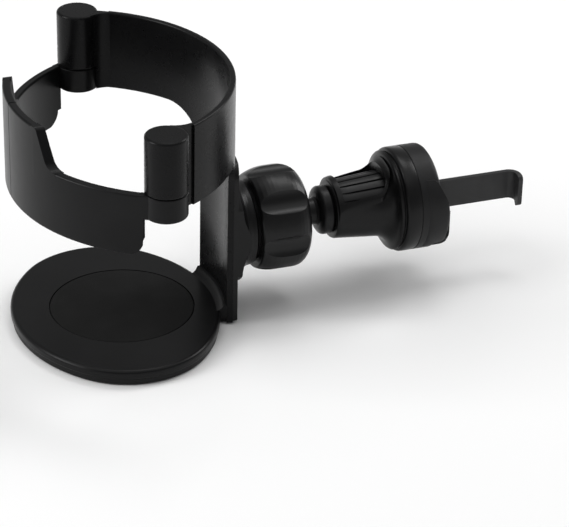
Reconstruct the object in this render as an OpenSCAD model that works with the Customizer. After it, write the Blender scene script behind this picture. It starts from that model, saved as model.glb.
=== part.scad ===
// Cup holder for a car air vent: a ring with two sprung arms, a tray on a column,
// and a ball joint that carries a clip with a screw-driven hook.
// +X runs from the cup towards the vent, +Z is up, and the origin lies under the
// middle of the cup on the underside of the tray. All sizes are in millimetres.

/* [Cup ring] */
// Distance from the middle of the cup to each arm hinge
post_spread = 48; // [45:0.5:49.5]
// How far the ring wall's centre lies in front of the hinges
ring_setback = 16.2; // [13:0.2:22]
// Thickness of the ring wall
ring_wall = 2; // [1.6:0.1:2.6]
// Height of the ring's top above the underside of the tray
ring_top = 90; // [84:1:110]
// Height of the ring wall
ring_h = 27; // [24:1:34]
// Angle between each hinge and the end of the full ring wall
web_angle = 11.8; // [9:0.2:16]
// Depth of the groove between the wall and each hinge post
web_recess = 0.7; // [0.3:0.1:1]
// Radius of the hollow between each post and the wall's inner face
web_hollow = 8; // [6.5:0.1:8.5]
// Radius of the gussets between the wall's lower edge and the column
gusset_r = 16; // [10:0.5:18]
// Rounding of the ring's edges
ring_edge = 0.6; // [0.3:0.1:0.8]

/* [Hinges] */
// Radius of the round hinge knuckles
knuckle_r = 6.7; // [6:0.1:7.5]
// Height of the upper knuckle, which is part of the ring
post_h = 18.6; // [15:0.2:20]
// Gap between the two knuckles of a hinge
split_gap = 0.3; // [0.2:0.05:0.6]
// Gap round the lower knuckle
knuckle_gap = 0.3; // [0.3:0.05:0.8]
// Radius of the hinge pins
pin_r = 1.2; // [1:0.05:1.4]
// Running clearance of the pins in the arms
pin_fit = 0.05; // [0.02:0.01:0.1]
// Radius of the pins' heads
pin_head_r = 2.6; // [2.2:0.1:3.2]
// Height of the pins' heads
pin_head_h = 1.6; // [1:0.1:2]
// Mean radius of the arm springs
spring_r = 2; // [1.8:0.05:2.1]
// Thickness of the spring wire
spring_wire = 0.6; // [0.4:0.05:0.7]
// Plastic left above the spring chamber in each post
post_roof = 5.5; // [4.5:0.1:7]
// Plastic left above each pin
pin_cover = 2; // [1.5:0.1:3]
// Turns of each arm spring
spring_turns = 7; // [4:1:9]
// Radius of the spring chamber in each post
chamber_r = 2.7; // [2.6:0.05:2.8]

/* [Arms] */
// How far the arms' centre lies behind the hinges
arm_setback = 21; // [17:0.1:26]
// How far outside the hinge the arms' wall passes
arm_offset = 3.4; // [3:0.1:4]
// Thickness of the arms
arm_wall = 2.8; // [2.4:0.1:3.4]
// How far the arms hang below the ring
arm_drop = 12.6; // [8:0.1:16]
// How far the finger tabs stand above the arms
tab_rise = 12.4; // [8:0.1:15]
// Half width of the two tabs together
tab_half = 20; // [14:0.5:24]
// Rounding of the tabs' upper corners
tab_corner = 2; // [1:0.1:4]
// Sweep at the foot of the tabs
tab_foot = 4.5; // [2:0.1:6]
// Slope of the tabs' sides from upright
tab_slope = 22; // [10:1:30]
// Gap where the two tabs meet
seam_gap = 0.4; // [0.2:0.1:0.8]
// Rounding of the arms' lower rear corners
arm_corner = 5.5; // [2:0.1:7]
// Distance from the hinge to the arms' free rear edge
arm_end = 7.8; // [7.2:0.1:9]

/* [Column and tray] */
// Width of the column
column_w = 29.2; // [28.8:0.2:34]
// How far the column's foot reaches under the tray
foot_len = 12; // [9:0.5:13]
// Height of the column's lower end above the tray's underside
column_lift = 0.5; // [0.2:0.1:1]
// Size of the tray across the car, along Y
tray_len = 84; // [78:1:92]
// Size of the tray along X
tray_w = 67.2; // [62:0.2:68]
// Radius of the tray's rounded ends
tray_end_r = 28; // [24:0.5:30]
// Distance from the tray's rear rim to the column
tray_back = 2.2; // [0.8:0.1:2.5]
// Thickness of the tray's upper shell
tray_t = 2.9; // [2.6:0.1:4]
// Thickness of the cover under the tray
cover_t = 2.2; // [2:0.1:3]
// How far the cover's edge lies inside the tray's
cover_inset = 0.5; // [0.3:0.1:1.2]
// Rounding of the tray's upper edge
tray_edge = 1.2; // [0.6:0.1:1.6]
// Radius of the cove between tray and column
cove_r = 3.2; // [2:0.1:4.5]
// Thickness of the cove's upper lip
cove_lip = 0.8; // [0.4:0.1:1.2]
// Radius of the rubber pad
pad_r = 23.5; // [20:0.5:25]
// Thickness of the rubber pad
pad_t = 1.1; // [0.8:0.1:1.4]
// Gap round the rubber pad
pad_gap = 0.3; // [0.2:0.05:0.6]

/* [Back bracket] */
// Thickness of the bracket's plate
plate_t = 1.5; // [1.2:0.1:2.4]
// Height of the plate's rounded top
plate_top = 57; // [52:0.5:62]
// Rounding of the plate's upper corners
plate_corner = 5; // [2:0.5:9]
// Radius of the round collar
collar_r = 14.2; // [13.8:0.1:14.2]
// Distance from the plate to the collar's rim
collar_depth = 5.6; // [5.4:0.1:8]
// Cove under the collar
collar_cove = 4.5; // [2:0.1:5]
// Wall of the slotted socket inside the nut
socket_wall = 1.95; // [1.6:0.05:2.4]
// Width of the socket's slots
socket_slot = 1.4; // [0.8:0.1:2]

/* [Ball joint] */
// Height of the joint's axis above the tray's underside
axis_z = 29.3; // [28:0.1:32]
// Radius of the ball
ball_r = 8.5; // [8.3:0.1:8.6]
// Running clearance round the ball and its seat
ball_fit = 0.05; // [0.02:0.01:0.1]
// Wall of the seat round the ball
seat_wall = 2.05; // [1.8:0.05:2.3]
// Radius of the stud's neck
neck_r = 4.4; // [3.8:0.1:4.6]
// Distance from the ball's middle to the stud's flange
neck_reach = 14.7; // [14.2:0.1:20]
// Radius of the stud's flange
stud_flange_r = 8.1; // [7:0.1:8.4]
// Length of the stud's conical flange
stud_flange_h = 4.4; // [3:0.1:5]

/* [Lock nut] */
// Outer radius of the nut's lobes
nut_r = 17.4; // [17:0.1:19]
// Length of the nut
nut_len = 17.4; // [16.8:0.1:19]
// Gap between the collar and the nut
nut_gap = 0.9; // [0.6:0.1:1.4]
// Number of lobes round the nut
nut_lobes = 7; // [6:1:10]
// Depth of the scallops between the lobes
scallop_depth = 1.9; // [1:0.05:2.1]
// How far the nut is turned from a scallop on top
nut_phase = 5; // [0:1:25]
// How much smaller the nut is at its rear rim
nut_crown = 1.9; // [0.8:0.1:2.2]
// Radius of each scallop
scallop_r = 6; // [5:0.5:10]
// Radius of the nut's outer end
nut_end_r = 12.6; // [11:0.1:14]

/* [Vent clip] */
// Radius of the housing at its narrow end
shell_r = 9.9; // [9.8:0.1:10.4]
// Radius of the housing where it meets the bell
shell_end_r = 11.3; // [11:0.1:12]
// Length from the housing's narrow end to the bell
shell_len = 13.8; // [13:0.2:16]
// Length of the bell
bell_len = 7.4; // [6.6:0.2:9]
// Radius of the round flange
flange_r = 17.6; // [16.6:0.1:19]
// Length of the housing's flange
flange_t = 4.4; // [3.8:0.1:5]
// Gap between the stud's flange and the housing
shell_gap = 1.6; // [1:0.1:2.4]
// Half width of the upper window over the knob
window_half = 9; // [8:0.1:9.2]
// Half width of the lower window
low_window_half = 4.6; // [4:0.1:6]
// Width of the lip round each window
lip_w = 0.9; // [0.5:0.1:1.3]
// Height of the lip round each window
lip_rise = 0.45; // [0.2:0.05:0.8]
// Radius of the fluted knob
knob_r = 9.1; // [8.4:0.05:9.2]
// Gap round the knob
knob_gap = 0.2; // [0.15:0.05:0.4]
// Number of grooves round the knob
knob_grooves = 18; // [12:1:24]
// Width of each groove
groove_w = 0.7; // [0.4:0.1:1]
// Depth of each groove
groove_d = 0.7; // [0.4:0.1:1]
// Thickness of the jaw's round plate
jaw_t = 7.5; // [6:0.1:8.5]
// How far the jaw's two feet stand out
foot_reach = 5.2; // [4.4:0.1:9]
// How far the feet reach above the joint's axis
foot_up = 9.7; // [7:0.1:11]
// How far the feet reach below the joint's axis
foot_down = 13.4; // [11:0.1:15]
// Thickness of the rubber tip on each foot
tip_t = 1.2; // [0.8:0.1:2]
// Width of each foot
foot_w = 7; // [5:0.2:8]
// Distance between the two feet
foot_gap = 8.6; // [6:0.2:9]

/* [Hook] */
// Height of the hook's strap
strap_h = 10; // [9:0.2:12]
// Thickness of the strap
strap_t = 1.6; // [1.2:0.1:2]
// Distance from the jaw plate to the outer face of the hook's lip
hook_reach = 33.9; // [30:0.1:42]
// Length of the lip, across the strap
lip_len = 5.6; // [4.6:0.1:8]
// How far the lip hangs below the strap
lip_drop = 1.5; // [0:0.1:2.5]
// Inner radius of the bend
bend_r = 2.2; // [1.6:0.1:3]
// Radius of the threaded shank
shank_r = 2.4; // [2.2:0.05:2.6]
// Travel of the hook
hook_travel = 10; // [6:0.5:10]
// Gap round the strap in its slot
strap_gap = 0.35; // [0.2:0.05:0.6]

/* [Screws] */
// Radius of the small screws' shanks
screw_r = 0.95; // [0.8:0.05:1.1]
// Radius of the small screws' heads
screw_head_r = 1.8; // [1.5:0.1:2]
// Height of the small screws' heads
screw_head_h = 1; // [0.8:0.1:1.1]
// Clearance round the screws
screw_fit = 0.05; // [0.02:0.01:0.1]

/* [Hidden] */
$fn = 96;
// A little more than nothing, so that cuts pass through a face
eps = 0.05;
// Bonded or seated faces of one body
bond = 0.02;
// Steps in each rounded corner
corner_steps = 4;

// Heights
ring_bottom = ring_top - ring_h;
split_z = ring_top - post_h;
knuckle_top = split_z - split_gap;
arm_bottom = ring_bottom - arm_drop;
tab_top = knuckle_top + tab_rise;
tray_top = cover_t + tray_t;
chamber_top = ring_top - post_roof;

// The ring's middle line and the arms' wall both run past the hinges
ring_x = -ring_setback;
ring_r = sqrt(pow(ring_setback, 2) + pow(post_spread, 2)) + ring_wall/2;
arm_x = arm_setback;
arm_r = sqrt(pow(arm_setback, 2) + pow(post_spread + arm_offset, 2)) + arm_wall/2;
post_angle = acos(-ring_x/(ring_r - ring_wall/2));
wall_angle = post_angle - web_angle;
column_angle = asin(column_w/2/ring_r);
arm_end_angle = acos((arm_x + arm_end)/arm_r);
arm_join_angle = acos((arm_x + knuckle_r/2)/arm_r);

// Places along the joint's axis
plate_x = ring_x + ring_r + bond + plate_t;
rim_x = plate_x + collar_depth;
nut_x = rim_x + nut_gap;
nut_end_x = nut_x + nut_len;
ball_x = nut_x + ball_r - 0.1;
socket_in_r = ball_r + ball_fit + seat_wall + ball_fit;
socket_r = socket_in_r + socket_wall;
socket_floor = ball_x - ball_r - 0.2;
seat_x = ball_x - ball_r + 1;
seat_end_x = ball_x + 5;
socket_end_x = seat_end_x + 0.5;
nut_floor = socket_end_x + 0.2;
neck_hole_r = ball_r - 0.2;
flange_x = ball_x + neck_reach;
flange_end_x = flange_x + stud_flange_h;
boss_r = stud_flange_r - 1.7;
shell_x = flange_end_x + shell_gap;
boss_end_x = shell_x + 1.5;
shell_wall_x = boss_end_x + 1.5;
knob_x = shell_wall_x + 1;
bell_x = shell_x + shell_len;
bell_end_x = bell_x + bell_len;
shell_end_x = bell_end_x + flange_t;
retainer_t = 1.5;
knob_end_x = shell_end_x - 6.9;
retainer_x = knob_end_x + 0.25;
retainer_end_x = retainer_x + retainer_t;
retainer_r = knob_r + knob_gap + 1.6;
jaw_x = shell_end_x + bond;
jaw_end_x = jaw_x + jaw_t;
foot_x = jaw_end_x + foot_reach;
strap_x = retainer_x + hook_travel + 0.4;
hook_x = jaw_end_x + hook_reach;
shank_x = shell_wall_x + hook_travel + 0.6;
shank_end_x = strap_x - 0.4;
tongue_len = 5;
strap_z = axis_z - 0.8;

function arc_points(cx, cy, r, from, to, steps) =
    [for (i = [0:steps]) let(a = from + (to - from)*i/steps) [cx + r*cos(a), cy + r*sin(a)]];

function round_box(w, h, r) = concat(
    arc_points(w - r, h - r, r, 0, 90, corner_steps),
    arc_points(r, h - r, r, 90, 180, corner_steps),
    arc_points(r, r, r, 180, 270, corner_steps),
    arc_points(w - r, r, r, 270, 360, corner_steps));

// A solid turned about the joint's axis from points given as [radius, x]
module turned(profile) {
    translate([0, 0, axis_z]) rotate([0, 90, 0]) rotate_extrude() polygon(profile);
}

// A round bar or bore on the joint's axis
module on_axis(r, from, to) {
    translate([from, 0, axis_z]) rotate([0, 90, 0]) cylinder(r = r, h = to - from);
}

// An outline in Y and Z, drawn out along X
module along_x(from, to) {
    translate([from, 0, 0]) rotate([90, 0, 90]) linear_extrude(to - from) children();
}

// An outline in X and Z, drawn out along Y
module along_y(from, to) {
    translate([0, to, 0]) rotate([90, 0, 0]) linear_extrude(to - from) children();
}

// A curved wall about the ring's middle
module ring_band(r_out, wall, low, high, from, to, edge) {
    translate([ring_x, 0, 0]) rotate([0, 0, from]) rotate_extrude(angle = to - from)
        translate([r_out - wall, low]) polygon(round_box(wall, high - low, edge));
}

// Both hinge places, the left one at +Y
module at_posts() {
    for (side = [-1, 1]) translate([0, side*post_spread, 0]) children();
}

// The hollow beside each post touches the post and the wall's inner face
hollow_bite = 0.15;
post_d = ring_r - ring_wall/2;
hollow_d = ring_r - ring_wall - web_hollow + hollow_bite;
hollow_out = knuckle_r + web_hollow - hollow_bite;
hollow_along = (pow(hollow_d, 2) - pow(hollow_out, 2) + pow(post_d, 2))/(2*post_d);
hollow_angle = post_angle - acos(hollow_along/hollow_d);

function on_ring(r, a) = [ring_x + r*cos(a), r*sin(a)];

// Upper knuckle with the web that runs into the ring wall, at +Y
module hinge_post() {
    translate([0, post_spread, split_z]) rotate_extrude() polygon(concat(
        [[0, 0]], arc_points(knuckle_r - 0.25, 0.25, 0.25, 270, 360, 2),
        arc_points(knuckle_r - 0.8, post_h - 0.8, 0.8, 0, 90, corner_steps), [[0, post_h]]));
    translate([0, 0, ring_bottom + 0.3]) linear_extrude(ring_h - 0.4) difference() {
        polygon(concat([[0, post_spread], on_ring(hollow_d, hollow_angle),
            on_ring(ring_r - ring_wall/2, hollow_angle)],
            [for (i = [0:6]) let(a = wall_angle - 1 + (post_angle - wall_angle + 2)*i/6)
                on_ring(ring_r - web_recess, a)]));
        translate(on_ring(hollow_d, hollow_angle)) circle(r = web_hollow);
    }
}

// Column, which widens in a curve on both sides where it meets the ring's lower edge
module column() {
    curve_z = ring_bottom + 0.3 - gusset_r;
    reach = column_angle + asin(gusset_r/(ring_r - ring_wall)) + 1;
    difference() {
        ring_band(ring_r, ring_wall, column_lift, ring_bottom + 2, -reach, reach, 0.3);
        for (side = [0, 1]) mirror([0, side, 0]) translate([ring_x, 0, curve_z]) rotate([0, 0, column_angle])
            along_x(ring_r/2, ring_r + 9) polygon(concat([[0, -curve_z - 1]],
                arc_points(gusset_r, 0, gusset_r, 180, 90, 16),
                [[2*gusset_r, gusset_r], [2*gusset_r, -curve_z - 1]]));
    }
}

module holder_body() {
    color([0.08, 0.08, 0.085]) difference() {
        union() {
            ring_band(ring_r, ring_wall, ring_bottom, ring_top, -wall_angle, wall_angle, ring_edge);
            for (side = [0, 1]) mirror([0, side, 0]) hinge_post();
            // Column, and the flange at its foot under the tray
            column();
            ring_band(ring_r - 0.5, foot_len, column_lift, cover_t, 1 - column_angle, column_angle - 1, 0.2);
        }
        at_posts() {
            translate([0, 0, ring_bottom - eps])
                cylinder(r = knuckle_r + knuckle_gap, h = split_z - ring_bottom + eps);
            translate([0, 0, split_z - eps]) cylinder(r = chamber_r, h = chamber_top - split_z + eps);
            cylinder(r = pin_r + 0.01, h = ring_top - pin_cover + 0.4);
        }
        for (place = foot_screws) translate([place[0], place[1], 0.3]) screw_hole();
    }
}

// The tray's outline is an oval of four arcs
tray_a = tray_w/2;
tray_b = tray_len/2;
tray_x = ring_x + ring_r - ring_wall - tray_back - tray_a;
end_y = tray_b - tray_end_r;
side_r = (tray_a*tray_a + end_y*end_y - tray_end_r*tray_end_r)/(2*(tray_a - tray_end_r));
side_x = side_r - tray_a;
side_angle = atan(end_y/side_x);

// An oval plate with its edge set in by some distance and a rounded or sloped rim
module oval(inset, low, high, top_edge, low_edge) {
    module wedge(r, half) {
        rotate([0, 0, -half]) rotate_extrude(angle = 2*half) polygon(concat(
            [[0, low]], arc_points(r - inset - low_edge, low + low_edge, low_edge, 270, 360, corner_steps),
            arc_points(r - inset - top_edge, high - top_edge, top_edge, 0, 90, corner_steps), [[0, high]]));
    }
    translate([tray_x, 0, 0]) {
        for (turn = [0, 180]) rotate([0, 0, turn]) {
            translate([-side_x, 0, 0]) wedge(side_r, side_angle);
            rotate([0, 0, 90]) translate([end_y, 0, 0]) wedge(tray_end_r, 90 - side_angle);
        }
    }
}

// Screws stand in the column's foot and round the cover
foot_screw_r = ring_r - ring_wall - foot_len/2;
foot_screws = [for (side = [-1, 1]) [ring_x + foot_screw_r*cos(9), side*foot_screw_r*sin(9)]];
cover_screws = [for (a = [60, 180, 300]) [tray_x + (tray_a - 7)*cos(a), (tray_b - 10)*sin(a)]];
screw_len = cover_t + tray_t - pad_t - screw_head_h - 0.6;

module screw() {
    rotate_extrude() polygon([[0, 0], [screw_head_r, 0], [screw_head_r, screw_head_h - 0.3],
        [screw_r + 0.3, screw_head_h], [screw_r, screw_head_h], [screw_r, screw_head_h + screw_len],
        [0, screw_head_h + screw_len]]);
}

module screw_hole() {
    cylinder(r = screw_r + screw_fit, h = screw_head_h + screw_len + 0.9);
    translate([0, 0, -eps]) cylinder(r = screw_head_r + 0.15, h = screw_head_h + 0.4 + eps);
}

module base_tray() {
    in_r = ring_r - ring_wall - bond;
    tongue_w = column_w - 0.2;
    tongue_top = tray_top - 0.1;
    color([0.07, 0.07, 0.075]) difference() {
        union() {
            oval(0, cover_t + bond, tray_top, tray_edge, 0.5);
            // Tongue out to the column, with the cove on it
            intersection() {
                translate([ring_x, 0, 0]) rotate([0, 0, -column_angle])
                    rotate_extrude(angle = 2*column_angle)
                    polygon(concat([[in_r - foot_len - 2, cover_t + bond], [in_r, cover_t + bond],
                        [in_r, tongue_top + cove_r]],
                        arc_points(in_r - cove_r - cove_lip, tongue_top + cove_r, cove_r, 0, -90, 8),
                        [[in_r - foot_len - 2, tongue_top]]));
                along_x(0, ring_x + ring_r) polygon(concat([[-tongue_w/2, 0], [tongue_w/2, 0]],
                    arc_points(tongue_w/2 - cove_r, tray_top, cove_r, 0, 90, 6),
                    arc_points(cove_r - tongue_w/2, tray_top, cove_r, 90, 180, 6)));
            }
        }
        translate([0, 0, tray_top - pad_t]) cylinder(r = pad_r + pad_gap, h = pad_t + eps);
        for (place = concat(foot_screws, cover_screws)) translate([place[0], place[1], 0.3]) screw_hole();
    }
}

module base_cover() {
    notch = ring_r - 0.5 - foot_len - 0.3;
    color([0.06, 0.06, 0.065]) difference() {
        oval(cover_inset, 0, cover_t, 0.25, 0.6);
        translate([ring_x, 0, -eps]) rotate([0, 0, -column_angle - 0.5])
            rotate_extrude(angle = 2*column_angle + 1)
            polygon([[notch, 0], [ring_r + 4, 0], [ring_r + 4, cover_t + 1], [notch, cover_t + 1]]);
        for (place = cover_screws) translate([place[0], place[1], 0.3]) screw_hole();
        for (place = cover_screws) translate([place[0], place[1], -eps])
            cylinder(r = screw_head_r + 0.15, h = 1);
    }
}

module base_pad() {
    edge = 0.25;
    color([0.05, 0.05, 0.05]) translate([0, 0, tray_top - pad_t + bond]) rotate_extrude()
        polygon(concat([[0, 0], [pad_r, 0]],
            arc_points(pad_r - edge, pad_t - bond - edge, edge, 0, 90, 3), [[0, pad_t - bond]]));
}

module base_screws() {
    color([0.6, 0.6, 0.62]) for (place = concat(foot_screws, cover_screws))
        translate([place[0], place[1], 0.6 + bond]) screw();
}

module back_bracket() {
    width = column_w - 0.4;
    cove_x = plate_x - 0.3;
    color([0.07, 0.07, 0.075]) difference() {
        union() {
            intersection() {
                ring_band(ring_r + bond + plate_t, plate_t + 1, column_lift + 0.6, plate_top,
                    -column_angle, column_angle, 0.3);
                along_x(0, plate_x + 2) polygon(concat(
                    [[-width/2, column_lift], [width/2, column_lift]],
                    arc_points(width/2 - plate_corner, plate_top - plate_corner, plate_corner, 0, 90, 8),
                    arc_points(plate_corner - width/2, plate_top - plate_corner, plate_corner,
                        90, 180, 8)));
            }
            // Collar with a cove down to the plate, and the slotted socket inside the nut
            turned(concat([[0, plate_x - plate_t - 3], [collar_r + collar_cove, plate_x - plate_t - 3]],
                arc_points(collar_r + collar_cove, cove_x + collar_cove, collar_cove, 270, 180, 8),
                arc_points(collar_r - 1.2, rim_x - 1.2, 1.2, 0, 90, corner_steps),
                [[socket_r, rim_x], [socket_r, socket_end_x - 0.4],
                [socket_r - 0.4, socket_end_x], [0, socket_end_x]]));
        }
        // Everything stays behind the column's back face and inside its width
        translate([ring_x, 0, -1]) cylinder(r = ring_r + bond, h = ring_top);
        for (side = [-1, 1]) translate([0, side*(width/2 + 10), 0])
            translate([20, -10, -1]) cube([plate_x + 30 - 20, 20, ring_top]);
        // Socket for the ball's seat, with its slots
        on_axis(socket_in_r, seat_x - 0.05, socket_end_x + 1);
        on_axis(ball_r*0.62, socket_floor, seat_x);
        for (turn = [0, 90]) translate([rim_x + 5, 0, axis_z]) rotate([turn, 0, 0])
            translate([0, -socket_slot/2, -socket_r - 1]) cube([socket_end_x, socket_slot, 2*socket_r + 2]);
    }
}

// Hinge pin, pressed into the post from below through the arm
module hinge_pin() {
    head_z = ring_bottom + 0.3;
    color([0.65, 0.65, 0.67]) union() {
        translate([0, 0, head_z]) cylinder(r = pin_head_r, h = pin_head_h);
        translate([0, 0, head_z]) cylinder(r = pin_r, h = ring_top - pin_cover - head_z);
    }
}

module left_hinge_pin() { translate([0, post_spread, 0]) hinge_pin(); }
module right_hinge_pin() { translate([0, -post_spread, 0]) hinge_pin(); }

// Round wire swept along a helix, with its two ends closed
module arm_spring() {
    sides = 8;
    wire_r = spring_wire/2;
    rings = spring_turns*14;
    low = split_z + spring_wire;
    rise = chamber_top - 2*spring_wire - low;
    function centre(i) = let(a = 360*spring_turns*i/rings)
        [spring_r*cos(a), spring_r*sin(a), low + rise*i/rings];
    function ring_point(i, k) = let(a = 360*spring_turns*i/rings, b = 360*k/sides, c = centre(i))
        [c[0] + wire_r*cos(b)*cos(a), c[1] + wire_r*cos(b)*sin(a), c[2] + wire_r*sin(b)];
    color([0.6, 0.6, 0.62]) polyhedron(
        points = [for (i = [0:rings], k = [0:sides - 1]) ring_point(i, k)],
        faces = concat(
            [for (i = [0:rings - 1], k = [0:sides - 1])
                [i*sides + k, (i + 1)*sides + k, (i + 1)*sides + (k + 1)%sides, i*sides + (k + 1)%sides]],
            [[for (k = [0:sides - 1]) k]],
            [[for (k = [0:sides - 1]) rings*sides + sides - 1 - k]]));
}

module left_arm_spring() { translate([0, post_spread, 0]) arm_spring(); }
module right_arm_spring() { translate([0, -post_spread, 0]) arm_spring(); }

// A curved wall about the arms' middle, angles counted from the front towards the hinge
module arm_band(low, high, from, to, edge) {
    translate([arm_x, 0, 0]) rotate([0, 0, 180 - to]) rotate_extrude(angle = to - from)
        translate([arm_r - arm_wall, low]) polygon(round_box(arm_wall, high - low, edge));
}

// Lower knuckle of a hinge
module arm_knuckle() {
    top = knuckle_top - ring_bottom;
    translate([0, post_spread, ring_bottom]) rotate_extrude() polygon(concat(
        [[0, 0]], arc_points(knuckle_r - 0.7, 0.7, 0.7, 270, 360, corner_steps),
        arc_points(knuckle_r - 0.3, top - 0.3, 0.3, 0, 90, 2), [[0, top]]));
}

// One front arm, drawn at +Y
module arm() {
    seam_angle = asin(seam_gap/2/arm_r);
    tab_angle = asin((tab_half - tab_corner)/arm_r);
    top_c = [tab_half - tab_corner, tab_top - tab_corner];
    from_top = [top_c[0] + tab_corner*cos(tab_slope), top_c[1] + tab_corner*sin(tab_slope)];
    foot_z = knuckle_top + tab_foot - tab_foot*sin(tab_slope);
    run = (from_top[1] - foot_z)*tan(tab_slope);
    foot_c = [from_top[0] + run + tab_foot*cos(tab_slope), knuckle_top + tab_foot];
    foot_angle = asin((foot_c[0] + 1)/arm_r);
    color([0.08, 0.08, 0.085]) difference() {
        union() {
            arm_band(arm_bottom, knuckle_top, seam_angle, arm_end_angle, 0.7);
            arm_band(ring_bottom, knuckle_top, arm_end_angle - 1, arm_join_angle, 0.4);
            arm_band(knuckle_top - 5, tab_top, seam_angle, tab_angle, 0.7);
            // Swept side of the tab
            intersection() {
                arm_band(knuckle_top - 2, tab_top, tab_angle - 1, foot_angle, 0.2);
                along_x(-arm_r, 0) polygon(concat([[0, knuckle_top - 2], [0, tab_top - tab_corner]],
                    [[0, tab_top]], arc_points(top_c[0], top_c[1], tab_corner, 90, tab_slope, 6),
                    arc_points(foot_c[0], foot_c[1], tab_foot, 180 + tab_slope, 270, 8),
                    [[foot_c[0], knuckle_top - 2]]));
            }
            arm_knuckle();
        }
        // Rounded lower corner at the free rear edge
        corner_c = [0.15 - arm_end - arm_corner, arm_bottom + arm_corner - 0.15];
        along_y(post_spread/2, post_spread + arm_offset + 8) polygon(concat(
            arc_points(corner_c[0], corner_c[1], arm_corner, -90, 0, 8),
            [[3 - arm_end, corner_c[1]], [3 - arm_end, arm_bottom - 2], [corner_c[0], arm_bottom - 2]]));
        translate([0, post_spread, ring_bottom - 1]) {
            cylinder(r = pin_r + pin_fit, h = post_h + 10);
            cylinder(r = pin_head_r + 0.2, h = pin_head_h + 1.3 + pin_fit);
        }
    }
}

module left_arm() { arm(); }
module right_arm() { mirror([0, 1, 0]) arm(); }

module lock_nut() {
    shoulder = nut_r - nut_end_r;
    color([0.07, 0.07, 0.075]) difference() {
        turned(concat([[socket_r + ball_fit, nut_x], [nut_r - nut_crown - 0.3, nut_x]],
            [for (t = [0.05:0.19:1]) [nut_r - nut_crown*pow(1 - t, 2), nut_x + nut_len*0.42*t]],
            [[nut_r, nut_end_x - shoulder*1.35]],
            [for (a = [12:12:84]) [nut_end_r + shoulder*cos(a), nut_end_x - shoulder*1.35*(1 - sin(a))]],
            [[nut_end_r - 0.6, nut_end_x], [neck_hole_r + 0.5, nut_end_x], [neck_hole_r, nut_end_x - 0.5],
            [neck_hole_r, nut_floor], [socket_r + ball_fit, nut_floor]]));
        for (i = [0:nut_lobes - 1]) translate([0, 0, axis_z]) rotate([360*i/nut_lobes - nut_phase, 0, 0])
            translate([nut_x - 1, 0, nut_r - scallop_depth + scallop_r]) rotate([0, 90, 0])
            cylinder(r = scallop_r, h = nut_len + 2);
    }
}

module ball_seat() {
    color([0.75, 0.74, 0.7]) difference() {
        on_axis(socket_in_r - ball_fit, seat_x, seat_end_x);
        translate([ball_x, 0, axis_z]) sphere(r = ball_r + ball_fit);
        for (turn = [45, 135]) translate([ball_x - 1, 0, axis_z]) rotate([turn, 0, 0])
            translate([0, -0.5, -socket_r]) cube([ball_r, 1, 2*socket_r]);
    }
}

module ball_stud() {
    color([0.09, 0.09, 0.095]) difference() {
        union() {
            translate([ball_x, 0, axis_z]) sphere(r = ball_r);
            turned(concat([[0, ball_x], [neck_r, ball_x], [neck_r, flange_x - 0.8],
                [neck_r + 0.5, flange_x]],
                [for (a = [15:15:90]) [neck_r + 0.6 + (stud_flange_r - neck_r - 0.6)*sin(a),
                    flange_x + 1.8*(1 - cos(a))]],
                [[stud_flange_r, flange_end_x - 0.6], [stud_flange_r - 0.3, flange_end_x],
                [boss_r, flange_end_x], [boss_r, boss_end_x - bond], [0, boss_end_x - bond]]));
        }
        on_axis(1.5 + screw_fit, boss_end_x - 8, boss_end_x + 1);
    }
}

module stud_screw() {
    color([0.6, 0.6, 0.62]) turned([[0, boss_end_x - 7.5], [1.5, boss_end_x - 7.5], [1.5, boss_end_x],
        [2.6, shell_wall_x - 0.1], [0, shell_wall_x - 0.1]]);
}

// Upper and lower window over the knob, with round ends towards the bell
module window_outline(width, spread) {
    half = width + spread;
    start = shell_wall_x + 0.4 - spread;
    end = bell_x + 3.2 + spread;
    translate([start, -half]) square([end - half - start, 2*half]);
    translate([end - half, 0]) intersection() {
        circle(r = half);
        translate([0, -half]) square([half, 2*half]);
    }
}

// Outer form of the housing, grown outward a little for the windows' lips
module bell_form(grow) {
    bell_r = 7 - grow;
    swing = 68;
    turned(concat([[0, shell_x], [shell_r - 0.9 + grow, shell_x], [shell_r - 0.2 + grow, shell_x + 0.4],
        [shell_r + grow, shell_x + 1.2], [shell_end_r + grow, bell_x]],
        arc_points(shell_end_r + 7, bell_x, bell_r, 180 - swing/6, 180 - swing, 6),
        arc_points(flange_r - 1.4, bell_end_x + 1.4, 1.4, -60, 0, corner_steps),
        [[flange_r, shell_end_x - 0.3], [flange_r - 0.3, shell_end_x], [0, shell_end_x]]));
}

// Where each window's cut begins, and its half width
windows = [[0, window_half], [-3*flange_r, low_window_half]];

module clip_housing() {
    cavity_r = knob_r + knob_gap;
    color([0.08, 0.08, 0.085]) difference() {
        union() {
            bell_form(0);
            intersection() {
                bell_form(lip_rise);
                for (w = windows) translate([0, 0, axis_z + w[0]]) linear_extrude(3*flange_r)
                    window_outline(w[1], lip_w);
            }
        }
        on_axis(boss_r + bond, shell_x - 1, boss_end_x);
        turned([[0, boss_end_x - eps], [1.55, boss_end_x - eps], [1.55, boss_end_x],
            [2.75, shell_wall_x + eps], [0, shell_wall_x + eps]]);
        on_axis(cavity_r, shell_wall_x, retainer_x + eps);
        on_axis(retainer_r + 0.1, retainer_x - 0.05, shell_end_x + 1);
        difference() {
            for (w = windows) translate([0, 0, axis_z + w[0]]) linear_extrude(3*flange_r)
                window_outline(w[1], 0);
            on_axis(40, bell_end_x - 0.4, shell_end_x + 5);
        }
        for (a = clip_angles) translate([0, 0, axis_z]) rotate([a, 0, 0])
            translate([shell_end_x - 3.4, 0, clip_screw_r]) rotate([0, 90, 0])
            cylinder(r = screw_r + screw_fit, h = 5);
    }
}

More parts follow.
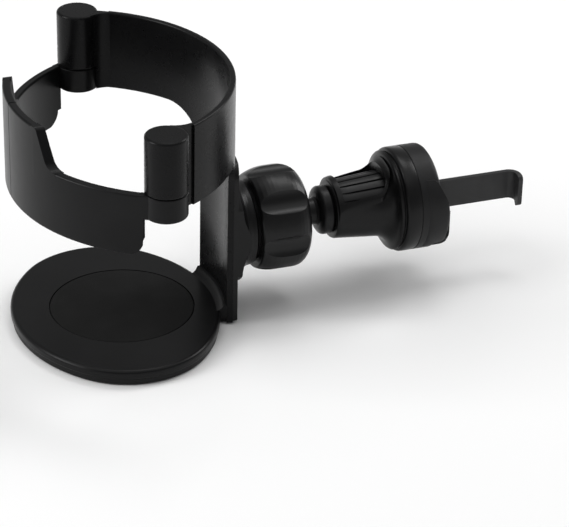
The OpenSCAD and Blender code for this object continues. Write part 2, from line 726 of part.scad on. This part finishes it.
module clip_knob() {
    color([0.09, 0.09, 0.095]) difference() {
        turned([[shank_r + ball_fit, knob_x], [knob_r - 0.8, knob_x], [knob_r, knob_x + 0.8],
            [knob_r, knob_end_x - 0.8], [knob_r - 0.8, knob_end_x], [shank_r + ball_fit, knob_end_x]]);
        for (i = [0:knob_grooves - 1]) translate([knob_x - 1, 0, axis_z]) rotate([360*i/knob_grooves, 0, 0])
            translate([0, -groove_w/2, knob_r - groove_d]) cube([knob_end_x - knob_x + 2, groove_w, 2]);
    }
}

// Slot for the strap, widened in the middle for the round shank
module strap_slot(from, to) {
    translate([from, -strap_t/2 - strap_gap, strap_z - strap_h/2 - strap_gap])
        cube([to - from, strap_t + 2*strap_gap, strap_h + 2*strap_gap]);
    on_axis(shank_r + 0.3, from, to);
}

module knob_retainer() {
    color([0.6, 0.6, 0.62]) difference() {
        on_axis(retainer_r, retainer_x, retainer_end_x);
        strap_slot(retainer_x - 1, retainer_end_x + 1);
    }
}

clip_angles = [-30, 30, 180];
clip_screw_r = flange_r - 3.5;

// Side view of one foot, from the jaw plate to a given reach
module foot_outline(from, to) {
    intersection() {
        polygon(concat([[jaw_end_x - 1, axis_z + foot_up], [jaw_end_x + 0.6, axis_z + foot_up - 0.4],
            [foot_x - 0.8, axis_z - 0.2], [foot_x, axis_z - 1.8]],
            arc_points(foot_x - 3.6, axis_z - foot_down + 3.6, 3.6, 0, -90, 6),
            [[jaw_end_x - 1, axis_z - foot_down]]));
        translate([from, axis_z - flange_r]) square([to - from, 2*flange_r]);
    }
}

module jaw_plate() {
    color([0.07, 0.07, 0.075]) difference() {
        union() {
            turned(concat([[0, retainer_end_x + bond], [retainer_r - 0.1, retainer_end_x + bond],
                [retainer_r - 0.1, jaw_x], [flange_r - 0.3, jaw_x], [flange_r, jaw_x + 0.3]],
                arc_points(flange_r - 1.6, jaw_end_x - 1.6, 1.6, 0, 90, corner_steps), [[0, jaw_end_x]]));
            for (side = [0, 1]) mirror([0, side, 0])
                along_y(foot_gap/2, foot_gap/2 + foot_w) foot_outline(jaw_end_x - 1, foot_x - tip_t);
        }
        strap_slot(retainer_end_x - 1, jaw_end_x + 1);
        for (a = clip_angles) translate([0, 0, axis_z]) rotate([a, 0, 0])
            translate([jaw_x - 1, 0, clip_screw_r]) rotate([0, 90, 0]) {
                cylinder(r = screw_r + screw_fit, h = jaw_t + 2);
                translate([0, 0, jaw_t - 1.2]) cylinder(r = screw_head_r + 0.15, h = 4);
            }
    }
}

module jaw_tips() {
    color([0.05, 0.05, 0.05]) for (side = [0, 1]) mirror([0, side, 0])
        along_y(foot_gap/2 + 0.3, foot_gap/2 + foot_w - 0.3) foot_outline(foot_x - tip_t + bond, foot_x);
}

module clip_screws() {
    color([0.6, 0.6, 0.62]) for (a = clip_angles) translate([0, 0, axis_z]) rotate([a, 0, 0])
        translate([jaw_end_x - 2.2 + screw_head_h, 0, clip_screw_r]) rotate([0, -90, 0])
        rotate_extrude() polygon([[0, 0], [screw_head_r, 0], [screw_head_r, screw_head_h - bond],
            [screw_r, screw_head_h - bond], [screw_r, jaw_t + 1.2], [0, jaw_t + 1.2]]);
}

module hook_strap() {
    out = bend_r + strap_t;
    lip_y = -lip_len;
    color([0.1, 0.1, 0.105]) difference() {
        union() {
            // Flat strap, and the tongue that the shank holds
            translate([strap_x, -strap_t/2, strap_z - strap_h/2])
                cube([hook_x - out - strap_x, strap_t, strap_h]);
            translate([shank_end_x - tongue_len + 0.5, -strap_t/2, axis_z - shank_r*0.75])
                cube([strap_x - shank_end_x + tongue_len, strap_t, shank_r*1.5]);
            // Bend and lip
            translate([hook_x - out, -strap_t/2 - bend_r, strap_z - strap_h/2])
                rotate_extrude(angle = 90) translate([bend_r, 0]) square([strap_t, strap_h]);
            along_x(hook_x - strap_t, hook_x) polygon(concat(
                [[-strap_t/2 - bend_r, strap_z - strap_h/2], [-strap_t/2 - bend_r, strap_z + strap_h/2]],
                arc_points(lip_y + 1.6, strap_z + strap_h/2 - 1.6, 1.6, 90, 180, corner_steps),
                arc_points(lip_y + 1.6, strap_z - strap_h/2 - lip_drop + 1.6, 1.6,
                    180, 270, corner_steps)));
        }
        translate([shank_end_x - 2.4, -3, axis_z]) rotate([-90, 0, 0]) cylinder(r = 0.62, h = 6);
    }
}

module hook_shank() {
    color([0.6, 0.6, 0.62]) difference() {
        turned([[0, shank_x], [shank_r - 0.4, shank_x], [shank_r, shank_x + 0.4], [shank_r, shank_end_x],
            [0, shank_end_x]]);
        translate([shank_end_x - tongue_len, -strap_t/2 - bond, axis_z - shank_r - 1])
            cube([tongue_len + 1, strap_t + 2*bond, 2*shank_r + 2]);
        translate([shank_end_x - 2.4, -3, axis_z]) rotate([-90, 0, 0]) cylinder(r = 0.62, h = 6);
    }
}

module hook_rivet() {
    half = sqrt(shank_r*shank_r - 0.36) - 0.05;
    color([0.6, 0.6, 0.62]) translate([shank_end_x - 2.4, -half, axis_z]) rotate([-90, 0, 0])
        cylinder(r = 0.6, h = 2*half);
}

holder_body();
base_tray();
base_cover();
base_pad();
base_screws();
back_bracket();
left_hinge_pin();
right_hinge_pin();
left_arm_spring();
right_arm_spring();
left_arm();
right_arm();
lock_nut();
ball_seat();
ball_stud();
stud_screw();
clip_housing();
clip_knob();
knob_retainer();
jaw_plate();
jaw_tips();
clip_screws();
hook_strap();
hook_shank();
hook_rivet();
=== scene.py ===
import bpy
import math
from mathutils import Matrix, Vector


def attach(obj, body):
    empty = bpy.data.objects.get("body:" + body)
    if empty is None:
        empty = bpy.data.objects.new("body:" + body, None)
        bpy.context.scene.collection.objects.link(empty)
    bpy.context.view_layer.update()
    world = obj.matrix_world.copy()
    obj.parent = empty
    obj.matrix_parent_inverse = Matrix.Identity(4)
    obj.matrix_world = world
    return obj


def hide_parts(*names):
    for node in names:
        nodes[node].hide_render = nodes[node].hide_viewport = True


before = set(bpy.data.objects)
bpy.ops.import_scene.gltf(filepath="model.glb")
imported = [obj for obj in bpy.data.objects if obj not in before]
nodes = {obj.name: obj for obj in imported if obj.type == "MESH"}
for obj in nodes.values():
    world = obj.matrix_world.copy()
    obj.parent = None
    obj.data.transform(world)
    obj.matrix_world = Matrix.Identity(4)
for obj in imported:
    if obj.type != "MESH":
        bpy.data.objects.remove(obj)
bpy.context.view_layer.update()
scene = bpy.context.scene
scene.view_settings.view_transform = "Standard"

# Camera
# The holder is seen from the side, turned a little towards the cup's front and from
# about 29 degrees above. The lens is long, and the picture leans a little.
azimuth = math.radians(-20.66)
elevation = math.radians(29.15)
lean = math.radians(1.39)
camera_place = (-0.2102, -0.70725, 0.4326)
camera_data = bpy.data.cameras.new("camera")
camera_data.lens = 164.5
camera_data.sensor_width = 36.0
camera_data.clip_start = 0.05
camera_data.clip_end = 20.0
camera = bpy.data.objects.new("camera", camera_data)
swing = Matrix.Rotation(azimuth, 4, "Z")
pitch = Matrix.Rotation(math.pi / 2 - elevation, 4, "X")
roll = Matrix.Rotation(lean, 4, "Z")
camera.matrix_world = Matrix.Translation(camera_place) @ swing @ pitch @ roll
scene.collection.objects.link(camera)
scene.camera = camera


# Ring, posts and column
# One black moulding: the curved rear half of the ring, the two hinge posts at its
# ends and the column down to the tray. Injection moulded in satin plastic.
def new_material(name):
    material = bpy.data.materials.new(name)
    material.use_nodes = True
    tree = material.node_tree
    return material, tree, tree.nodes["Principled BSDF"]


def object_millimetres(tree):
    """The object's coordinates in millimetres, so that textures have real sizes."""
    place = tree.nodes.new("ShaderNodeTexCoord")
    to_mm = tree.nodes.new("ShaderNodeVectorMath")
    to_mm.operation = "SCALE"
    to_mm.inputs["Scale"].default_value = 1000.0
    tree.links.new(place.outputs["Object"], to_mm.inputs[0])
    return to_mm.outputs[0]


def noise(tree, place, scale, detail):
    texture = tree.nodes.new("ShaderNodeTexNoise")
    texture.inputs["Scale"].default_value = scale
    texture.inputs["Detail"].default_value = detail
    tree.links.new(place, texture.inputs["Vector"])
    return texture.outputs["Fac"]


def tint(tree, shader, amount, dark, pale, start=0.0, end=1.0):
    """Colours the surface from dark to pale as a noise rises from start to end."""
    tone = tree.nodes.new("ShaderNodeValToRGB")
    first, last = tone.color_ramp.elements
    first.position = start
    first.color = (*dark, 1)
    last.position = end
    last.color = (*pale, 1)
    tree.links.new(amount, tone.inputs["Fac"])
    tree.links.new(tone.outputs["Color"], shader.inputs["Base Color"])


def polish(tree, shader, amount, smoothest, roughest, start=0.0, end=1.0):
    """Varies the roughness between two values as a noise rises from start to end."""
    rough = tree.nodes.new("ShaderNodeMapRange")
    rough.inputs["From Min"].default_value = start
    rough.inputs["From Max"].default_value = end
    rough.inputs["To Min"].default_value = smoothest
    rough.inputs["To Max"].default_value = roughest
    tree.links.new(amount, rough.inputs["Value"])
    tree.links.new(rough.outputs["Result"], shader.inputs["Roughness"])


def fine_grain(tree, shader, height, strength, depth):
    """Raises a fine grain of the given depth, in metres."""
    bump = tree.nodes.new("ShaderNodeBump")
    bump.inputs["Strength"].default_value = strength
    bump.inputs["Distance"].default_value = depth
    tree.links.new(height, bump.inputs["Height"])
    tree.links.new(bump.outputs["Normal"], shader.inputs["Normal"])


def moulded_plastic(name, dark, pale, roughness, spread, grain_mm, grain, shine):
    """Moulded plastic: slight colour variation, uneven polish and a fine grain."""
    material, tree, shader = new_material(name)
    place = object_millimetres(tree)
    flow = noise(tree, place, scale=0.06, detail=4.0)
    wear = noise(tree, place, scale=0.35, detail=5.0)
    texture = noise(tree, place, scale=1.0 / grain_mm, detail=2.0)
    tint(tree, shader, flow, dark, pale, start=0.3, end=0.75)
    polish(tree, shader, wear, roughness - spread, roughness + spread, start=0.3, end=0.7)
    fine_grain(tree, shader, texture, grain, depth=0.0001)
    shader.inputs["Specular IOR Level"].default_value = shine
    return material


def cool(level):
    """A grey that leans slightly to blue."""
    return (level, level, level * 1.06)


def dress(node, material):
    """Gives a CAD node its material; the node's mesh stays as it is."""
    piece = nodes[node]
    if not piece.material_slots:
        piece.data.materials.append(material)
    for slot in piece.material_slots:
        slot.material = material


satin_black = moulded_plastic("satin_black", cool(0.0035), cool(0.0055), roughness=0.28, spread=0.015,
                              grain_mm=0.25, grain=0.02, shine=0.13)
dress("holder_body", satin_black)

# Front arms
# Two sprung arms in the same satin plastic, each turning on a steel pin under its
# post. Their tabs meet at the front of the cup.
arm_black = moulded_plastic("arm_black", cool(0.004), cool(0.0065), roughness=0.32, spread=0.015,
                            grain_mm=0.25, grain=0.02, shine=0.15)
dress("left_arm", arm_black)
dress("right_arm", arm_black)


# Hinge pins and springs
# Bright steel pins pressed into the posts, with a coil spring round each one.
# They are hidden once the arms are on.
def bright_steel(name, colour, roughness, mottle_mm):
    """Bright steel, finely mottled in its colour and polish."""
    material, tree, shader = new_material(name)
    mottle = noise(tree, object_millimetres(tree), scale=1.0 / mottle_mm, detail=6.0)
    tint(tree, shader, mottle, [part * 0.8 for part in colour], colour)
    polish(tree, shader, mottle, roughness * 0.8, roughness * 1.3)
    shader.inputs["Metallic"].default_value = 1.0
    return material


pin_steel = bright_steel("pin_steel", (0.62, 0.62, 0.63), roughness=0.28, mottle_mm=0.8)
spring_steel = bright_steel("spring_steel", (0.5, 0.51, 0.53), roughness=0.32, mottle_mm=0.5)
for side in ("left", "right"):
    dress(side + "_hinge_pin", pin_steel)
    dress(side + "_arm_spring", spring_steel)


# Tray, cover and pad
# An oval tray of the same plastic over a flat cover screwed on from below, with a
# round pad of matte black rubber let into its top.
def soft_rubber(name, dark, pale, grain_mm, grain):
    """Matte rubber with faint clouds in its colour and a fine grain."""
    material, tree, shader = new_material(name)
    place = object_millimetres(tree)
    clouds = noise(tree, place, scale=0.15, detail=6.0)
    texture = noise(tree, place, scale=1.0 / grain_mm, detail=3.0)
    tint(tree, shader, clouds, dark, pale, start=0.3, end=0.7)
    fine_grain(tree, shader, texture, grain, depth=0.0002)
    shader.inputs["Roughness"].default_value = 0.7
    shader.inputs["Specular IOR Level"].default_value = 0.15
    return material


tray_black = moulded_plastic("tray_black", cool(0.0035), cool(0.0055), roughness=0.32, spread=0.02,
                             grain_mm=0.25, grain=0.03, shine=0.17)
cover_black = moulded_plastic("cover_black", cool(0.0045), cool(0.007), roughness=0.42, spread=0.04,
                              grain_mm=0.3, grain=0.12, shine=0.2)
pad_rubber = soft_rubber("pad_rubber", (0.004, 0.004, 0.004), (0.0065, 0.0065, 0.0065),
                         grain_mm=0.3, grain=0.25)
dress("base_tray", tray_black)
dress("base_cover", cover_black)
dress("base_pad", pad_rubber)

# Tray screws
# Small plated screws with cross recesses, three through the cover and two through
# the column's foot, sunk a little below the surface.
screw_steel = bright_steel("screw_steel", (0.5, 0.5, 0.52), roughness=0.3, mottle_mm=0.6)
screw_head_r = 0.0018
screw_shank_r = 0.00095
screw_tip = 0.0003


def add_mesh(name, points, faces):
    mesh = bpy.data.meshes.new(name)
    mesh.from_pydata(points, [], faces)
    mesh.update()
    thing = bpy.data.objects.new(name, mesh)
    scene.collection.objects.link(thing)
    return thing


def solid_between(name, below, above):
    """A closed solid between two outlines with the same number of points."""
    n = len(below)
    faces = [tuple(range(n - 1, -1, -1)), tuple(range(n, 2 * n))]
    faces += [(i, (i + 1) % n, n + (i + 1) % n, n + i) for i in range(n)]
    return add_mesh(name, below + above, faces)


def combine(thing, tool, operation):
    """Joins, cuts or trims one mesh with another, and removes the tool."""
    step = thing.modifiers.new(operation.lower(), "BOOLEAN")
    step.object = tool
    step.operation = operation
    step.solver = "EXACT"
    bpy.context.view_layer.update()
    depsgraph = bpy.context.evaluated_depsgraph_get()
    result = bpy.data.meshes.new_from_object(thing.evaluated_get(depsgraph))
    thing.modifiers.clear()
    thing.data = result
    bpy.data.objects.remove(tool)


def screw_blank(name, head_h, length):
    """A screw turned about Z, its rounded head at the bottom and no recess in it yet."""
    steps = 40
    profile = [(screw_head_r * 0.75, 0.0), (screw_head_r * 0.95, head_h * 0.18),
               (screw_head_r, head_h * 0.4), (screw_head_r, head_h), (screw_shank_r, head_h),
               (screw_shank_r, length - screw_tip), (screw_shank_r * 0.6, length)]
    points = [(0.0, 0.0, 0.0)]
    for radius, height in profile:
        for i in range(steps):
            angle = 2 * math.pi * i / steps
            points.append((radius * math.cos(angle), radius * math.sin(angle), height))
    points.append((0.0, 0.0, length))
    last = 1 + (len(profile) - 1) * steps
    faces = []
    for i in range(steps):
        j = (i + 1) % steps
        faces.append((0, 1 + j, 1 + i))
        for row in range(1, last, steps):
            faces.append((row + i, row + j, row + steps + j, row + steps + i))
        faces.append((last + i, last + j, len(points) - 1))
    return add_mesh(name, points, faces)


def cross_bit(name, head_h):
    """The cross that is cut into a head from below, narrower towards its end."""
    arm = screw_head_r * 0.6
    half = screw_head_r * 0.16
    depth = head_h * 0.6
    taper = 0.7
    outline = [(arm, -half), (arm, half), (half, half), (half, arm), (-half, arm), (-half, half),
               (-arm, half), (-arm, -half), (-half, -half), (-half, -arm), (half, -arm), (half, -half)]
    below = [(x, y, -head_h) for x, y in outline]
    above = [(x * taper, y * taper, depth) for x, y in outline]
    return solid_between(name, below, above)


def cross_screws(name, places, head_h, length, turn):
    """Equal screws joined in one piece; their heads face -Z before the turn."""
    screw = screw_blank(name + "_blank", head_h, length)
    combine(screw, cross_bit(name + "_bit", head_h), "DIFFERENCE")
    points = []
    faces = []
    for place in places:
        start = len(points)
        shift = Matrix.Translation(place) @ turn
        points += [tuple(shift @ v.co) for v in screw.data.vertices]
        faces += [tuple(start + i for i in f.vertices) for f in screw.data.polygons]
    bpy.data.objects.remove(screw)
    screws = add_mesh(name, points, faces)
    screws.data.materials.append(screw_steel)
    return screws


sunk = 0.00062
foot_x, foot_y = 0.02692, 0.00683
side_x, side_y = 0.01096, 0.02771
front_x = -0.02894
tray_places = [(foot_x, foot_y, sunk), (foot_x, -foot_y, sunk), (front_x, 0.0, sunk),
               (side_x, side_y, sunk), (side_x, -side_y, sunk)]
tray_screws = cross_screws("tray_screws", tray_places, head_h=0.001, length=0.0034, turn=Matrix())
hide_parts("base_screws")
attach(tray_screws, "holder")

# Back bracket
# Plate on the back of the column with a round collar and, inside the nut, a slotted
# socket. Moulded in the same satin plastic as the ring.
bracket_black = moulded_plastic("bracket_black", cool(0.0035), cool(0.0055), roughness=0.3, spread=0.015,
                                grain_mm=0.25, grain=0.03, shine=0.2)
dress("back_bracket", bracket_black)

# Ball joint
# A plastic ball on a thick neck sits in a pale split seat, and the lobed nut squeezes
# the seat round it. The nut shines a little more than the ring.
nut_black = moulded_plastic("nut_black", cool(0.004), cool(0.0065), roughness=0.3, spread=0.015,
                            grain_mm=0.2, grain=0.04, shine=0.25)
stud_black = moulded_plastic("stud_black", cool(0.005), cool(0.0075), roughness=0.34, spread=0.04,
                             grain_mm=0.25, grain=0.08, shine=0.2)
seat_white = moulded_plastic("seat_white", (0.6, 0.59, 0.54), (0.7, 0.69, 0.64), roughness=0.45,
                             spread=0.04, grain_mm=0.3, grain=0.05, shine=0.5)
dress("lock_nut", nut_black)
dress("ball_stud", stud_black)
dress("ball_seat", seat_white)
dress("stud_screw", screw_steel)

# Vent clip's housing
# A plastic housing, moulded round and widening like a bell. A lipped window above
# leaves the knob open to the thumb, with a smaller window below. Sizes are in
# millimetres here, and for the knob and the feet.
joint_height = 29.3
housing_black = moulded_plastic("housing_black", cool(0.0035), cool(0.0055), roughness=0.3, spread=0.015,
                                grain_mm=0.25, grain=0.03, shine=0.2)


def turned_ring(name, rows, steps, depth_at=None):
    """A closed ring turned about the joint's axis from (x, radius) rows."""
    points = []
    faces = []
    for row, (along, radius) in enumerate(rows):
        for i in range(steps):
            angle = 2 * math.pi * i / steps
            r = radius - (depth_at(row, i) if depth_at else 0.0)
            across = -r * math.sin(angle)
            up = joint_height + r * math.cos(angle)
            points.append((along / 1000, across / 1000, up / 1000))
    for row in range(len(rows)):
        below = row * steps
        above = (row + 1) % len(rows) * steps
        for i in range(steps):
            j = (i + 1) % steps
            faces.append((below + i, below + j, above + j, above + i))
    return add_mesh(name, points, faces)


def bend(x, y, radius, start, end, count):
    """Points of a fillet, angles in degrees."""
    angles = [math.radians(start + (end - start) * i / count) for i in range(count + 1)]
    return [(x + radius * math.cos(a), y + radius * math.sin(a)) for a in angles]


def window_plan(start, end, half, corner):
    """Outline of a window seen from above: square at the nut's end, rounded towards the bell."""
    near = bend(end - corner, corner - half, corner, -90, 0, 8)
    far = bend(end - corner, half - corner, corner, 0, 90, 8)
    return [(start, -half)] + near + far + [(start, half)]


def prism(name, outline, low, high, lie):
    """A straight solid from an outline; lie turns (a, b, height) into x, y, z."""
    below, above = ([tuple(v / 1000 for v in lie(a, b, height)) for a, b in outline]
                    for height in (low, high))
    return solid_between(name, below, above)


def upright(a, b, height):
    """Lays an outline flat, so that its solid stands up from it."""
    return (a, b, height)


def smooth_by_angle(thing, degrees):
    """Smooth faces with the edges above an angle kept sharp."""
    mesh = thing.data
    mesh.polygons.foreach_set("use_smooth", [True] * len(mesh.polygons))
    mesh.set_sharp_from_angle(angle=math.radians(degrees))


housing_x = 71.2
bell_x = 85.7
bell_r = 11.3
bell_reach = 5.6
flange_r = 17.6
flange_round = 1.3
stud_bore = 6.42
lip_floor = 29.6
upper_floor = 30.2
lower_roof = 28.3
beyond = 60
beneath = -5
housing_steps = 144
lip_steps = 150
core_steps = 96


def bell(grow):
    """Flare of the housing's outside up to the flange, grown outward by some millimetres."""
    reach = bell_reach - grow
    angles = [math.radians(degrees) for degrees in range(10, 90, 10)]
    return [(bell_x + reach * math.sin(a), bell_r + bell_reach - reach * math.cos(a)) for a in angles]


barrel = [(housing_x, 9.0), (71.35, 9.6), (71.9, 9.95), (73.0, 10.05), (bell_x, bell_r)]
flange_front = [(91.6, 16.5), (92.0, 16.75), (92.4, 16.6), (92.7, 16.3)]
flange_front += bend(94.3, flange_r - flange_round, flange_round, 180, 90, 6)
flange_front += [(97.9, flange_r), (98.1, 17.5), (98.18, 17.3)]
cavity = [(98.18, 11.05), (91.4, 11.0), (73.5, 9.42), (73.5, stud_bore), (housing_x, stud_bore)]
housing = turned_ring("clip_shell", barrel + bell(0.0) + flange_front + cavity, housing_steps)

# The lip has more steps round it than the housing, so that their edges don't coincide.
lip_rows = [(71.6, 9.9), (71.9, 10.45), (73.0, 10.75), (bell_x, 12.0)] + bell(0.75)
lip_rows += bell(-0.35)[::-1] + [(bell_x, 10.95), (73.0, 9.7), (71.6, 9.3)]
lip = turned_ring("clip_lip", lip_rows, lip_steps)
lip_plan = window_plan(start=70.0, end=90.3, half=10.1, corner=4.4)
upper_plan = window_plan(start=73.6, end=89.0, half=9.1, corner=3.4)
lower_plan = window_plan(start=76.4, end=88.6, half=4.6, corner=3.4)
combine(lip, prism("lip_edge", lip_plan, lip_floor, beyond, upright), "INTERSECT")
combine(housing, lip, "UNION")
combine(housing, prism("window_top", upper_plan, upper_floor, beyond, upright), "DIFFERENCE")
combine(housing, prism("window_low", lower_plan, beneath, lower_roof, upright), "DIFFERENCE")

core_rows = [(72.2, 8.0), (73.2, 8.85), (75.6, 8.85), (75.6, 2.8), (74.1, 1.6), (74.1, stud_bore),
             (72.2, stud_bore)]
combine(housing, turned_ring("clip_core", core_rows, core_steps), "UNION")
smooth_by_angle(housing, 35)
housing.data.materials.append(housing_black)
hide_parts("clip_housing")
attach(housing, "vent_clip")

# Fluted knob
# A slightly tapered knob of duller black plastic, moulded with flutes along its
# length. It turns inside the housing and draws the hook in.
knob_black = moulded_plastic("knob_black", cool(0.006), cool(0.009), roughness=0.42, spread=0.04,
                             grain_mm=0.2, grain=0.12, shine=0.3)
flutes = 20
flute_steps = 16
flute_deep = 0.75
land_share = 0.8
land_round = 0.1
knob_bore = 2.45
knob_rows = [(73.75, 8.95), (73.8, 9.15), (74.1, 9.32), (76.6, 9.52), (80.0, 9.8), (85.0, 10.2),
             (91.0, 10.68), (91.25, 10.45), (91.25, knob_bore), (76.6, knob_bore), (76.6, 8.92)]
fluted_rows = range(2, 7)


def flute_depth(row, i):
    """A narrow groove between two barely rounded lands, on the knob's outside only."""
    if row not in fluted_rows:
        return 0.0
    place = abs((i % flute_steps) / flute_steps - 0.5) * 2
    return land_round * place ** 2 if place < land_share else flute_deep


knob = turned_ring("thumb_knob", knob_rows, flutes * flute_steps, flute_depth)
smooth_by_angle(knob, 40)
knob.data.materials.append(knob_black)
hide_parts("clip_knob")
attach(knob, "knob")
dress("knob_retainer", pin_steel)

# Jaw plate
# A round plastic plate screwed to the housing's flange, with two rubber-tipped feet
# that press against the slat. Each foot is carried out to the plate's rim.
jaw_black = moulded_plastic("jaw_black", cool(0.006), cool(0.009), roughness=0.45, spread=0.04,
                            grain_mm=0.2, grain=0.12, shine=0.25)
tip_rubber = soft_rubber("tip_rubber", (0.006, 0.006, 0.006), (0.01, 0.01, 0.01), grain_mm=0.25, grain=0.3)
dress("jaw_plate", jaw_black)
dress("jaw_tips", tip_rubber)
foot_inner = 4.4
foot_outer = 19.0
foot_steps = 192
foot_rows = [(100.2, 17.2), (100.8, 17.75), (101.8, 18.0), (106.6, 18.0), (107.5, 17.7), (108.0, 17.0),
             (108.0, 9.0), (104.5, 9.0), (104.5, 16.4), (100.2, 16.4)]
foot_side = [(99.9, 41.6), (103.6, 41.4), (104.6, 40.6), (107.5, 34.2), (108.05, 31.5)]
foot_side += bend(105.0, 21.2, 3.05, 0, -70, 6) + [(99.9, 16.4)]


def sideways(side):
    """Stands an outline on edge along X, so that its solid reaches out to one side."""
    return lambda a, b, height: (a, side * height, b)


for side, name in ((-1, "near_foot"), (1, "far_foot")):
    foot = turned_ring(name, foot_rows, foot_steps)
    # Run the other way round on the near side, so that its faces look outward too.
    outline = foot_side[::-1] if side < 0 else foot_side
    combine(foot, prism(name + "_side", outline, foot_inner, foot_outer, sideways(side)), "INTERSECT")
    smooth_by_angle(foot, 35)
    foot.data.materials.append(jaw_black)
    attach(foot, "vent_clip")

jaw_face_x = 0.1045001
jaw_circle_r = 0.0141
jaw_places = [(jaw_face_x, jaw_circle_r * math.sin(a), joint_height / 1000 + jaw_circle_r * math.cos(a))
              for a in (math.pi / 6, -math.pi / 6, math.pi)]
jaw_screws = cross_screws("jaw_screws", jaw_places, head_h=0.00098, length=0.0087,
                          turn=Matrix.Rotation(-math.pi / 2, 4, "Y"))
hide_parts("clip_screws")
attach(jaw_screws, "vent_clip")

# Hook
# A flat strap of matte dark plastic with a short bent lip, riveted to the steel
# shank that the knob draws in.
strap_grey = moulded_plastic("strap_grey", (0.012, 0.012, 0.0125), (0.017, 0.017, 0.0178), roughness=0.5,
                             spread=0.05, grain_mm=0.3, grain=0.15, shine=0.4)
dress("hook_strap", strap_grey)
dress("hook_shank", pin_steel)
dress("hook_rivet", pin_steel)

# Floor
# A wide, flat and pale floor of matte paint that fills the picture behind the
# holder. It lies just under the tray.
floor_reach = 6.0
floor_drop = 0.0002
floor_corners = [(x * floor_reach, y * floor_reach, 0) for x, y in ((-1, -1), (1, -1), (1, 1), (-1, 1))]
floor = add_mesh("floor", floor_corners, [(0, 1, 2, 3)])
floor.location = (0, 0, -floor_drop)
floor_paint, _, floor_shader = new_material("floor_paint")
floor_shader.inputs["Base Color"].default_value = (0.92, 0.92, 0.92, 1)
floor_shader.inputs["Roughness"].default_value = 0.8
floor_shader.inputs["Specular IOR Level"].default_value = 0.1
floor.data.materials.append(floor_paint)

# Light
# A surround that is pale at the horizon, darker above it and bright overhead, and
# three soft boxes: one above, one to the left and one to the right.
sky_tones = [(0.02, 0.5), (0.4, 0.28), (0.7, 0.35), (0.9, 1.1)]
world = bpy.data.worlds.new("surround")
world.use_nodes = True
scene.world = world
sky = world.node_tree
sky_place = sky.nodes.new("ShaderNodeTexCoord")
sky_parts = sky.nodes.new("ShaderNodeSeparateXYZ")
sky_ramp = sky.nodes.new("ShaderNodeValToRGB")
ramp_steps = sky_ramp.color_ramp.elements
for index, (height, tone) in enumerate(sky_tones):
    step = ramp_steps[index] if index < 2 else ramp_steps.new(height)
    step.position = height
    step.color = (tone, tone, tone, 1)
sky.links.new(sky_place.outputs["Generated"], sky_parts.inputs[0])
sky.links.new(sky_parts.outputs["Z"], sky_ramp.inputs["Fac"])
sky.links.new(sky_ramp.outputs["Color"], sky.nodes["Background"].inputs["Color"])
holder_middle = (0.03, 0.0, 0.05)


def soft_box(name, place, width, height, power):
    """A rectangular lamp aimed at the middle of the holder."""
    lamp = bpy.data.lights.new(name, "AREA")
    lamp.shape = "RECTANGLE"
    lamp.size = width
    lamp.size_y = height
    lamp.energy = power
    stand = bpy.data.objects.new(name, lamp)
    stand.location = place
    aim = Vector(holder_middle) - Vector(place)
    stand.rotation_euler = aim.to_track_quat("-Z", "Y").to_euler()
    scene.collection.objects.link(stand)


soft_box("top_light", (0.42, 0.42, 1.2), width=0.6, height=0.3, power=2.2)
soft_box("left_light", (-1.1, 0.1, 0.75), width=0.5, height=0.8, power=8.5)
soft_box("right_light", (1.1, 0.3, 0.7), width=0.4, height=0.8, power=5.5)
